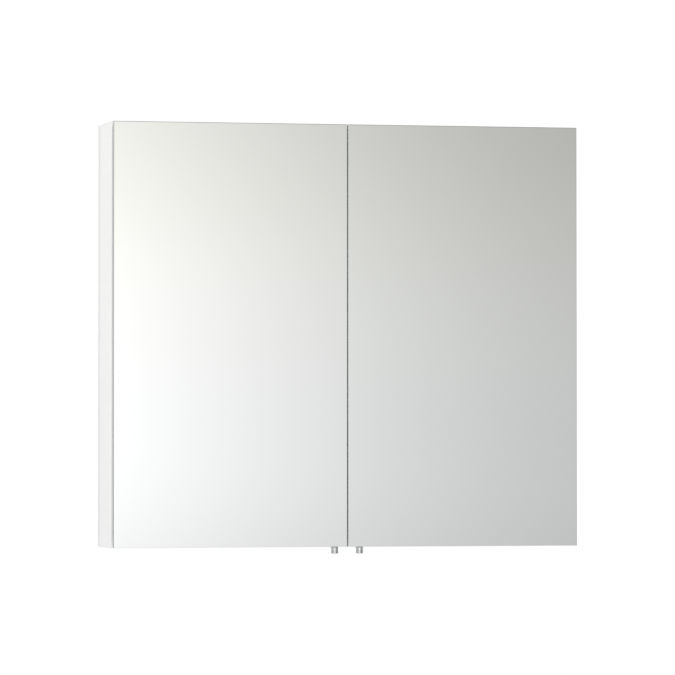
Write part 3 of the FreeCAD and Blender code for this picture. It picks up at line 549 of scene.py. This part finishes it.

# %% [markdown]
# ## Metals
#
# Four metals are used. The knobs are polished chrome on satin brackets, whose darker colour is also
# painted shade from the door's lower edge; the rolled hinge has a grain along its length, and the
# screws and hanger plates are bright zinc that is a little cloudy.
# All of them are the same shader with different values, so one function builds them from colour
# drift, grain and handling marks.

# %% One function for every metal
def metal(name, colour, drift_amount, clean, marked, stretch, grain_scale, grain_depth):
    """A metal with drifting colour, handling marks and a grain pulled along one direction."""
    material, tree, shader, position = new_finish(name, Metallic=1.0)
    tone = use_group(tree, drift, {"Position": position, "Colour": colour, "Scale": 60.0,
                                   "Amount": drift_amount})
    tree.links.new(tone["Colour"], shader.inputs["Base Color"])
    marks = use_group(tree, handling, {"Position": position, "Scale": 90.0, "Clean": clean,
                                       "Marked": marked})
    tree.links.new(marks["Roughness"], shader.inputs["Roughness"])
    lines = use_group(tree, grain, {"Position": position, "Stretch": stretch, "Scale": grain_scale})
    set_bump(tree, shader, lines["Height"], grain_depth, strength=0.6)
    return material


chrome = metal("polished_chrome", (0.80, 0.81, 0.82, 1.0), drift_amount=0.02, clean=0.08, marked=0.16,
               stretch=(1.0, 1.0, 14.0), grain_scale=250.0, grain_depth=0.003 * MM)
# satin finish, with a darker colour that is partly painted shade from the door above the bracket
satin_chrome_painted_shade = metal("satin_chrome_painted_shade", (0.66, 0.67, 0.68, 1.0), drift_amount=0.03, clean=0.34, marked=0.46,
                     stretch=(6.0, 1.0, 6.0), grain_scale=250.0, grain_depth=0.004 * MM)
hinge_steel = metal("rolled_hinge_steel", (0.74, 0.74, 0.75, 1.0), drift_amount=0.02, clean=0.30,
                    marked=0.36, stretch=(14.0, 14.0, 0.6), grain_scale=160.0, grain_depth=0.003 * MM)
zinc = metal("bright_zinc", (0.74, 0.75, 0.765, 1.0), drift_amount=0.06, clean=0.26, marked=0.42,
             stretch=(1.0, 1.0, 1.0), grain_scale=700.0, grain_depth=0.003 * MM)
for side in ("left", "right"):
    dress(side + "_knob_bracket", satin_chrome_painted_shade)
    for node in ("_hinge_frame_leaf", "_hinge_door_leaf", "_hinge_pin", "_hinge_rivets"):
        dress(side + node, hinge_steel)
    for node in ("_hanger_hook", "_wall_plate", "_strike_plates", "_strike_screws", "_knob_screws"):
        dress(side + node, zinc)
for node in ("cam_locks", "cam_bolts", "hanger_screws", "hinge_frame_screws", "catch_screws"):
    dress(node, zinc)
print("metals:", [metal_made.name for metal_made in (chrome, satin_chrome_painted_shade, hinge_steel, zinc)])

# %% [markdown]
# ## Magnets
#
# The catches hold small blocks of sintered ferrite. It is a ceramic, nearly black and not shiny, so
# it isn't a metal in the shader. Its speckle is the same slow drift made very fine.

# %% Ferrite magnets: dark, dull and grainy
ferrite, tree, shader, position = new_finish("sintered_ferrite", Metallic=0.0)
speck = use_group(tree, drift, {"Position": position, "Colour": (0.035, 0.035, 0.038, 1.0),
                                "Scale": 2500.0, "Amount": 0.6})
tree.links.new(speck["Colour"], shader.inputs["Base Color"])
marks = use_group(tree, handling, {"Position": position, "Scale": 200.0, "Clean": 0.5, "Marked": 0.7})
tree.links.new(marks["Roughness"], shader.inputs["Roughness"])
set_bump(tree, shader, use_group(tree, fine_skin, {"Position": position, "Scale": 1800.0})["Height"],
         0.03 * MM)
dress("catch_magnets", ferrite)
print(ferrite.name, "nodes:", len(tree.nodes))

# %% [markdown]
# ## Dowels and door boards
#
# The beech dowels lie inside the boards and still get a grain, because a section view or an open
# joint would show it. The board behind each mirror is a sandwich: two thin lacquered aluminium skins
# with a pale plastic core. Only its edge shows on the closed cabinet, as three fine lines, so its
# colour depends on the depth through the board.

# %% Beech
beech, tree, shader, position = new_finish("beech_dowel")
fibre = use_group(tree, grain, {"Position": position, "Stretch": (0.1, 1.0, 1.0), "Scale": 900.0})
wood = mix_colours(tree, fibre["Height"], (0.50, 0.31, 0.17, 1.0), (0.72, 0.52, 0.34, 1.0))
tree.links.new(wood, shader.inputs["Base Color"])
marks = use_group(tree, handling, {"Position": position, "Scale": 60.0, "Clean": 0.55, "Marked": 0.7})
tree.links.new(marks["Roughness"], shader.inputs["Roughness"])
set_bump(tree, shader, fibre["Height"], 0.1 * MM)
dress("panel_dowels", beech)
print(beech.name, "nodes:", len(tree.nodes))

# %% Sandwich board: the depth through it picks skin or core
SKIN_THICKNESS = 0.35 * MM
board_low, board_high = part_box("left_backing_board")
sandwich, tree, shader, position = new_finish("sandwich_board", IOR=1.5)
depth = add_node(tree, "SeparateXYZ", {0: position}).outputs[1]
above = work_out(tree, "GREATER_THAN", depth, board_low.y + SKIN_THICKNESS)
under = work_out(tree, "LESS_THAN", depth, board_high.y - SKIN_THICKNESS)
core = work_out(tree, "MULTIPLY", above, under)
lacquer = use_group(tree, drift, {"Position": position, "Colour": (0.80, 0.80, 0.795, 1.0),
                                  "Scale": 8.0, "Amount": 0.015})
filled = use_group(tree, drift, {"Position": position, "Colour": (0.66, 0.66, 0.65, 1.0),
                                 "Scale": 700.0, "Amount": 0.12})
colour = mix_colours(tree, core, lacquer["Colour"], filled["Colour"])
tree.links.new(colour, shader.inputs["Base Color"])
marks = use_group(tree, handling, {"Position": position, "Scale": 11.0, "Clean": 0.30, "Marked": 0.44})
tree.links.new(marks["Roughness"], shader.inputs["Roughness"])
set_bump(tree, shader, use_group(tree, fine_skin, {"Position": position, "Scale": 800.0})["Height"],
         0.02 * MM, strength=0.4)
for side in ("left", "right"):
    dress(side + "_backing_board", sandwich)
print(sandwich.name, "nodes:", len(tree.nodes))

# %% [markdown]
# ## Mirrors
#
# A mirror is a sheet of glass with silver behind it. The silver gives a clean, slightly green
# reflection, and the ground edge is duller and shows the colour of the glass. A block of real
# refracting glass with a silver sheet behind it would be truer, but it is slow and noisy for a
# front that is plain reflection. So the faces take a metal finish and the edge takes its own. The
# right door's silver is a little darker than the left's: painted shade that stands in for the two
# doors facing the room at slightly different angles. The arris round a face has a duller silver:
# it catches other parts of the room, and draws a fine line along the top and the left of each door.
# By the hinge its colour is painted dark: painted shade that stands in for the shadow in the gap
# between the door and the side.

# %% Silvered face and ground edge
def silver(name, colour):
    """A mirror's face: almost perfectly smooth, with the faintest wiping marks."""
    material, tree, shader, position = new_finish(name, Metallic=1.0)
    tone = use_group(tree, drift, {"Position": position, "Colour": colour, "Scale": 3.0, "Amount": 0.004})
    tree.links.new(tone["Colour"], shader.inputs["Base Color"])
    marks = use_group(tree, handling, {"Position": position, "Scale": 7.0, "Clean": 0.004,
                                       "Marked": 0.03})
    tree.links.new(marks["Roughness"], shader.inputs["Roughness"])
    height = use_group(tree, fine_skin, {"Position": position, "Scale": 4.0})
    set_bump(tree, shader, height["Height"], 0.005 * MM)
    return material


def ground_glass(name, colour, clean, marked):
    """A ground and polished glass edge: the colour of deep glass, with fine grinding lines."""
    material, tree, shader, position = new_finish(name, IOR=1.52)
    tone = use_group(tree, drift, {"Position": position, "Colour": colour, "Scale": 40.0, "Amount": 0.12})
    tree.links.new(tone["Colour"], shader.inputs["Base Color"])
    marks = use_group(tree, handling, {"Position": position, "Scale": 60.0, "Clean": clean,
                                       "Marked": marked})
    tree.links.new(marks["Roughness"], shader.inputs["Roughness"])
    lines = use_group(tree, grain, {"Position": position, "Stretch": (1.0, 12.0, 1.0), "Scale": 260.0})
    set_bump(tree, shader, lines["Height"], 0.01 * MM, strength=0.5)
    return material


# the right door's silver is a little darker: painted shade for the doors facing the room at slightly
# different angles
SILVER_WITH_PAINTED_SHADE = {"left": (0.911, 0.913, 0.909, 1.0), "right": (0.893, 0.901, 0.893, 1.0)}
mirror_edge = ground_glass("mirror_ground_edge", (0.50, 0.56, 0.53, 1.0), clean=0.16, marked=0.32)
print("mirror finishes ready for", sorted(SILVER_WITH_PAINTED_SHADE))

# %% The arris, with painted shade where the sheet runs along the hinge
# painted shade: the arris by the hinge is coloured dark, standing in for the shadow in the door's gap
HINGE_PAINTED_SHADE = (0.26, 0.27, 0.265, 1.0)
HINGE_SHADE_START = 1.2 * MM
HINGE_SHADE_FULL = 0.7 * MM
mirror_arris = metal("mirror_arris", (0.80, 0.825, 0.81, 1.0), drift_amount=0.02, clean=0.14, marked=0.24,
                     stretch=(1.0, 6.0, 1.0), grain_scale=200.0, grain_depth=0.003 * MM)
tree = mirror_arris.node_tree
shader = tree.nodes["Principled BSDF"]
across = add_node(tree, "SeparateXYZ", {0: add_node(tree, "TexCoord").outputs["Object"]}).outputs[0]
from_middle = work_out(tree, "ABSOLUTE", across)
hinge_shade = ease(tree, from_middle, -door_low.x - HINGE_SHADE_START, -door_low.x - HINGE_SHADE_FULL, 0.0, 1.0)
colour = shader.inputs["Base Color"].links[0].from_socket
tree.links.new(mix_colours(tree, hinge_shade, colour, HINGE_PAINTED_SHADE), shader.inputs["Base Color"])
print(mirror_arris.name, "nodes:", len(tree.nodes))

# %% [markdown]
# ## The mirror sheets
#
# Each door carries a large mirror in front and a smaller one inside. A sheet is a rounded rectangle
# whose edge is followed from the shown face, over a flat 45 degree arris, across the thickness and
# round a tiny arris at the hidden face. The arris is built rather than bevelled with a modifier, so
# that its faces can take a finish of their own.

# %% The mirror sheets, with a flat 45 degree arris round the silvered face
MIRROR_CORNER = 1.4 * MM
FRONT_ARRIS = 0.7 * MM
INNER_ARRIS = 0.5 * MM
HIDDEN_ARRIS = 0.3 * MM
PANE_BANDS = [2, 1, 1]


def place_piece(piece, body, materials, stands_for):
    """Give a new piece its finishes and its body, and hide the CAD node that it stands for."""
    for material in materials:
        piece.data.materials.append(material)
    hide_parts(stands_for)
    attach(piece, body)


def mirror_sheet(node, shown_face, face_arris, hidden_arris):
    """Rings of a mirror: from one face over its arris, across the edge and on to the other face."""
    low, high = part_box(node)
    thick = high.y - low.y
    edge = [(face_arris, 0.0), (0.0, face_arris), (0.0, thick - hidden_arris), (hidden_arris, thick)]
    if shown_face == "back":
        edge = [(inset, thick - depth) for inset, depth in edge]
    return sheet_rings(low, high, 1, MIRROR_CORNER, edge)


for side in ("left", "right"):
    face = silver("silver_" + side, SILVER_WITH_PAINTED_SHADE[side])
    node = side + "_front_mirror"
    rings = mirror_sheet(node, "front", FRONT_ARRIS, HIDDEN_ARRIS)
    pane = skin(side + "_mirror_pane", rings[None], PANE_BANDS)
    place_piece(pane, side + "_door", [face, mirror_edge, mirror_arris], node)
    node = side + "_inner_mirror"
    rings = mirror_sheet(node, "back", INNER_ARRIS, HIDDEN_ARRIS)
    pane = skin(side + "_inner_pane", rings[None], PANE_BANDS)
    place_piece(pane, side + "_door", [face, mirror_edge, mirror_arris], node)

# %% [markdown]
# ## Glass shelves
#
# Each shelf is five millimetres of clear float glass. Its faces are all but invisible and its edge
# is deep green, because light that enters the edge travels the length of the sheet. The edge is
# ground to a shallow round, which is half an ellipse from face to face.

# %% Clear face and green edge
clear_glass, tree, shader, position = new_finish(
    "shelf_clear", IOR=1.5, Transmission_Weight=1.0, Metallic=0.0)
tone = use_group(tree, drift, {"Position": position, "Colour": (0.93, 0.972, 0.955, 1.0),
                               "Scale": 6.0, "Amount": 0.01})
tree.links.new(tone["Colour"], shader.inputs["Base Color"])
marks = use_group(tree, handling, {"Position": position, "Scale": 16.0, "Clean": 0.0, "Marked": 0.05})
tree.links.new(marks["Roughness"], shader.inputs["Roughness"])
set_bump(tree, shader, use_group(tree, fine_skin, {"Position": position, "Scale": 6.0})["Height"],
         0.01 * MM)
shelf_edge = ground_glass("shelf_ground_edge", (0.20, 0.42, 0.33, 1.0), clean=0.08, marked=0.2)
print("shelf finishes:", clear_glass.name, shelf_edge.name)

# %% The four shelves
SHELF_CORNER = 5.0 * MM
EDGE_ROUND = 1.4 * MM


def shelf_rings(node):
    """Rings of a shelf whose edge is half an ellipse, EDGE_ROUND wide and as tall as the glass."""
    low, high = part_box(node)
    thick = high.z - low.z
    angle = np.linspace(-np.pi / 2, np.pi / 2, 11)
    edge = np.column_stack([EDGE_ROUND * (1 - np.cos(angle)), thick / 2 * (1 + np.sin(angle))])
    return sheet_rings(low, high, 2, SHELF_CORNER, edge)


for side in ("left", "right"):
    for level in ("lower", "upper"):
        node = side + "_" + level + "_shelf"
        shelf = skin(node + "_glass", shelf_rings(node)[None], 1)
        place_piece(shelf, "cabinet", [clear_glass, shelf_edge], node)

# %% [markdown]
# ## Turned pieces
#
# Knobs, shelf pins, cam caps and buffers are all round, so each is a profile swept round an axis.
# A profile lists radius and height from one end to the other, with arcs where a tool or a mould
# would leave a soft corner. A pole of a few hundredths of a millimetre closes each end. The knobs
# come first: each door has one, hanging just below its lower edge, so a finger can pull it open.

# %% The knobs: a slightly domed end, a soft edge and one fine groove
POLE = 0.03 * MM
GROOVE_BELOW_TOP = 1.7 * MM


def knob_profile(radius, length):
    """From the domed lower end up to the flat upper end, with a half-round groove near the top.

    The dome's height grows with the square of the radius, and the groove is half a circle cut in.
    """
    soft, dome, groove = 0.7 * MM, 0.35 * MM, 0.3 * MM
    flat = radius - soft
    across = np.linspace(POLE, flat, 8)
    end = np.column_stack([across, dome * (across / flat) ** 2])
    edge = arc(flat, dome + soft, soft, -90, 0)[1:]
    turn = np.linspace(0, np.pi, 9)
    level = length - GROOVE_BELOW_TOP
    cut = np.column_stack([radius - groove * np.sin(turn), level - groove * np.cos(turn)])
    top = arc(radius - groove, length - groove, groove, 0, 90)
    return np.concatenate([end, edge, cut, top, [[POLE, length]]])


for side in ("left", "right"):
    node = side + "_knob"
    low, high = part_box(node)
    radius = (high.x - low.x) / 2
    foot = ((low.x + high.x) / 2, (low.y + high.y) / 2, low.z)
    profile = knob_profile(radius, high.z - low.z)
    knob = skin(side + "_turned_knob", turned(profile, foot, (0, 0, 1), 96)[None])
    place_piece(knob, side + "_door", [chrome], node)

# %% [markdown]
# ## Shelf pins
#
# A pin is one small metal turning: a peg that is pushed into a hole, a flange that stops it at the
# board, and a rest that carries the glass. The rest is slightly waisted, as cast and plated pins
# often are. All sixteen are one piece, because they are the same shape at different places.

# %% The shelf pins: a peg, a flange and a waisted rest with a round nose
PEG_LENGTH, PEG_RADIUS = 6.5 * MM, 2.5 * MM
FLANGE_RADIUS, FLANGE_LENGTH = 4.0 * MM, 1.2 * MM
REST_RADIUS, REST_END = 3.0 * MM, 7.2 * MM
WAIST_DEPTH = 0.25 * MM


def pin_profile():
    """From the peg's tip inside the board, out past the flange to the nose that carries the glass.

    The waist is the rest's radius less WAIST_DEPTH times the square of a sine along its length.
    """
    soft = 0.3 * MM
    tip = arc(PEG_RADIUS - soft, soft - PEG_LENGTH, soft, -90, 0, 5)
    flange_back = arc(FLANGE_RADIUS - soft / 2, soft / 2, soft / 2, -90, 0, 4)
    flange_face = arc(FLANGE_RADIUS - soft, FLANGE_LENGTH - soft, soft, 0, 90, 5)
    along = np.linspace(FLANGE_LENGTH, REST_END - 2 * soft, 12)
    share = (along - along[0]) / (along[-1] - along[0])
    waist = np.column_stack([REST_RADIUS - WAIST_DEPTH * np.sin(np.pi * share) ** 2, along])
    nose = arc(REST_RADIUS - 2 * soft, REST_END - 2 * soft, 2 * soft, 0, 90)[1:]
    return np.concatenate([[[POLE, -PEG_LENGTH]], tip, [[PEG_RADIUS, 0.0]], flange_back, flange_face,
                           waist, nose, [[POLE, REST_END]]])


pins_low, pins_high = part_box("shelf_pins")
partition_low, partition_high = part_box("centre_partition")
columns = (pins_low.y + FLANGE_RADIUS, pins_high.y - FLANGE_RADIUS)
levels = (pins_low.z + FLANGE_RADIUS, pins_high.z - REST_RADIUS)
inner_face = side_high.x
faces = [(inner_face, 1), (partition_low.x, -1), (partition_high.x, 1), (-inner_face, -1)]
pins = [turned(pin_profile(), (x, y, z), (way, 0, 0), 28)
        for x, way in faces for y in columns for z in levels]
shelf_pins = skin("turned_shelf_pins", np.array(pins))
place_piece(shelf_pins, "cabinet", [chrome], "shelf_pins")

# %% [markdown]
# ## Cam caps
#
# White plastic caps hide the cam locks that pull the panels together. A cap is a low dome with a
# small round at its rim, so it catches a thin ring of light and reads as a separate part.

# %% The cam caps: a low dome with a fine rim
caps_low, caps_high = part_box("cam_caps")
CAP_RADIUS, CAP_HEIGHT = 9.0 * MM, 0.8 * MM
DOME_FALL, RIM_ROUND, RIM_WIDTH = 0.2 * MM, 0.3 * MM, 0.9 * MM
# the dome falls with the square of the radius, and the rim is a quarter circle
across = np.linspace(CAP_RADIUS - RIM_WIDTH, POLE, 9)
dome = np.column_stack([across, CAP_HEIGHT - DOME_FALL * (across / CAP_RADIUS) ** 2])
rim = arc(CAP_RADIUS - RIM_ROUND, CAP_HEIGHT - DOME_FALL - RIM_ROUND, RIM_ROUND, 0, 90, 5)
cap_profile = np.concatenate([[[POLE, 0.0]], [[CAP_RADIUS, 0.0]], rim, dome])
cap_y = (caps_low.y + caps_high.y) / 2
caps = [turned(cap_profile, (x, cap_y, z), (0, 0, way), 40)
        for x in (caps_low.x + CAP_RADIUS, caps_high.x - CAP_RADIUS)
        for z, way in ((caps_low.z, 1), (caps_high.z, -1))]
cam_caps = skin("domed_cam_caps", np.array(caps))
place_piece(cam_caps, "cabinet", [moulded_white], "cam_caps")

# %% [markdown]
# ## Door buffers
#
# Small self-adhesive domes of clear rubber take the knock of a closing door. The rubber lets some
# light through and scatters the rest, so it is part transmission and part plain colour.

# %% The buffers: soft clear domes that take the knock of a closing door
BUFFER_FOOT = 0.7 * MM
soft_clear, tree, shader, position = new_finish(
    "clear_buffer", IOR=1.46, Transmission_Weight=0.75, Metallic=0.0)
tone = use_group(tree, drift, {"Position": position, "Colour": (0.86, 0.90, 0.90, 1.0),
                               "Scale": 300.0, "Amount": 0.03})
tree.links.new(tone["Colour"], shader.inputs["Base Color"])
marks = use_group(tree, handling, {"Position": position, "Scale": 200.0, "Clean": 0.18, "Marked": 0.34})
tree.links.new(marks["Roughness"], shader.inputs["Roughness"])
set_bump(tree, shader, use_group(tree, fine_skin, {"Position": position, "Scale": 1500.0})["Height"],
         0.01 * MM)


def buffer_profile(radius, height):
    """A straight foot BUFFER_FOOT tall and then a quarter ellipse: radius * cos and height * sin."""
    angle = np.linspace(0, np.pi / 2, 12)
    dome = np.column_stack([radius * np.cos(angle), BUFFER_FOOT + (height - BUFFER_FOOT) * np.sin(angle)])
    return np.concatenate([[[POLE, 0.0]], [[radius, 0.0]], dome[:-1], [[POLE, height]]])


for side in ("left", "right"):
    node = side + "_door_buffers"
    low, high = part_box(node)
    radius = (high.x - low.x) / 2
    profile = buffer_profile(radius, high.y - low.y)
    x = (low.x + high.x) / 2
    domes = [turned(profile, (x, low.y, z), (0, 1, 0), 36) for z in (low.z + radius, high.z - radius)]
    buffers = skin(side + "_buffer_domes", np.array(domes))
    place_piece(buffers, side + "_door", [soft_clear], node)

# %% [markdown]
# ## The floor
#
# The cabinet hangs on a wall, so the floor is about 1.2 metres below it. It is a plain pale sheet
# that gives the doors something quiet to reflect when they are seen from above. Its finish fades
# away towards the rim, so no hard edge of the floor cuts across a view, and it is clear from below.

# %% A pale floor below the cabinet
FLOOR_BELOW = 1.2
FLOOR_RADIUS = 3.2
FLOOR_SOLID = 1.3
floor_height = side_low.z - FLOOR_BELOW
turn = np.linspace(0, 2 * np.pi, 64, endpoint=False)
rim = np.column_stack([FLOOR_RADIUS * np.cos(turn), FLOOR_RADIUS * np.sin(turn),
                       np.full(turn.size, floor_height)])
floor_mesh = bpy.data.meshes.new("studio_floor")
floor_mesh.from_pydata(rim.tolist(), [], [list(range(turn.size))])
floor = bpy.data.objects.new("studio_floor", floor_mesh)
bpy.context.scene.collection.objects.link(floor)
floor_white = plain_white("studio_floor_white", (0.88, 0.88, 0.88, 1.0), clean=0.6, marked=0.75,
                          skin_scale=60.0, skin_depth=0.1 * MM, amount=0.01)
tree = floor_white.node_tree
place = add_node(tree, "VectorMath", {0: add_node(tree, "TexCoord").outputs["Object"], 1: (1.0, 1.0, 0.0)},
                 operation="MULTIPLY")
distance = add_node(tree, "VectorMath", {0: place.outputs[0]}, operation="LENGTH").outputs["Value"]
solid = ease(tree, distance, FLOOR_SOLID, FLOOR_RADIUS, 1.0, 0.0)
from_above = work_out(tree, "SUBTRACT", 1.0, add_node(tree, "NewGeometry").outputs["Backfacing"])
opacity = work_out(tree, "MULTIPLY", solid, from_above)
tree.links.new(opacity, tree.nodes["Principled BSDF"].inputs["Alpha"])
floor.data.materials.append(floor_white)
print("floor at", round(floor_height, 3))
